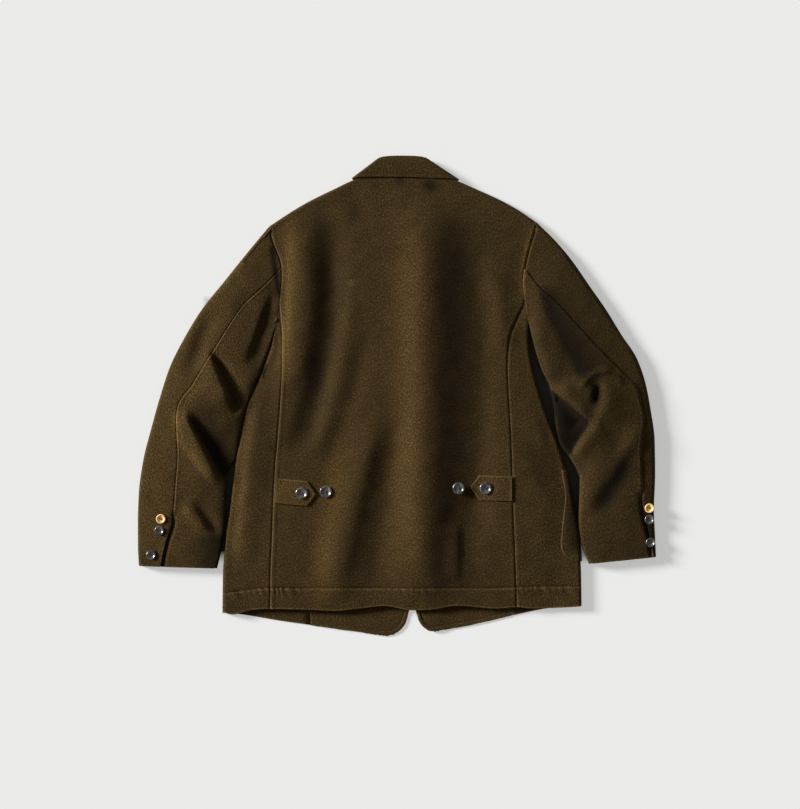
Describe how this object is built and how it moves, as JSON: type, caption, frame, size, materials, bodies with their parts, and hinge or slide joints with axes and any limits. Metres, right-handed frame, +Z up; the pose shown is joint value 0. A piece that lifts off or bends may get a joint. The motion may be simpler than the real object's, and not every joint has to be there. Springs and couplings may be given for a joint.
{
  "type": "cardigan jacket",
  "caption": "Brushed woven jacket laid flat with its back up: one-piece back, side panels, two-piece buttoned sleeves, folded collar, waist tabs and patch pockets.",
  "frame": {"origin": "middle of the laid jacket on the surface that it rests on", "axes": "+X across the jacket to the viewer's right, +Y from the hem to the collar, +Z up from the surface"},
  "size_m": [0.8511, 0.7877, 0.0278],
  "materials": {
    "cloth": "brushed woven cloth, brown olive, matt with a short nap",
    "dark_button": "polished dark horn look",
    "pale_button": "polished yellow wood look"
  },
  "bodies": {
    "root": {"back": "cloth", "side_panel_left": "cloth", "side_panel_right": "cloth", "front_left": "cloth", "front_right": "cloth", "upper_sleeve_left": "cloth", "under_sleeve_left": "cloth", "upper_sleeve_right": "cloth", "under_sleeve_right": "cloth", "collar": "cloth", "tab_left": "cloth", "tab_right": "cloth", "pocket_left": "cloth", "pocket_right": "cloth", "tab_button_left": "dark_button", "tab_button_right": "dark_button", "spare_button_left": "dark_button", "spare_button_right": "dark_button", "cuff_button_left_1": "pale_button", "cuff_button_left_2": "dark_button", "cuff_button_left_3": "dark_button", "cuff_button_right_1": "pale_button", "cuff_button_right_2": "dark_button", "cuff_button_right_3": "dark_button", "front_button_1": "dark_button", "front_button_2": "dark_button", "front_button_3": "dark_button", "front_button_4": "dark_button"}
  },
  "joints": []
}
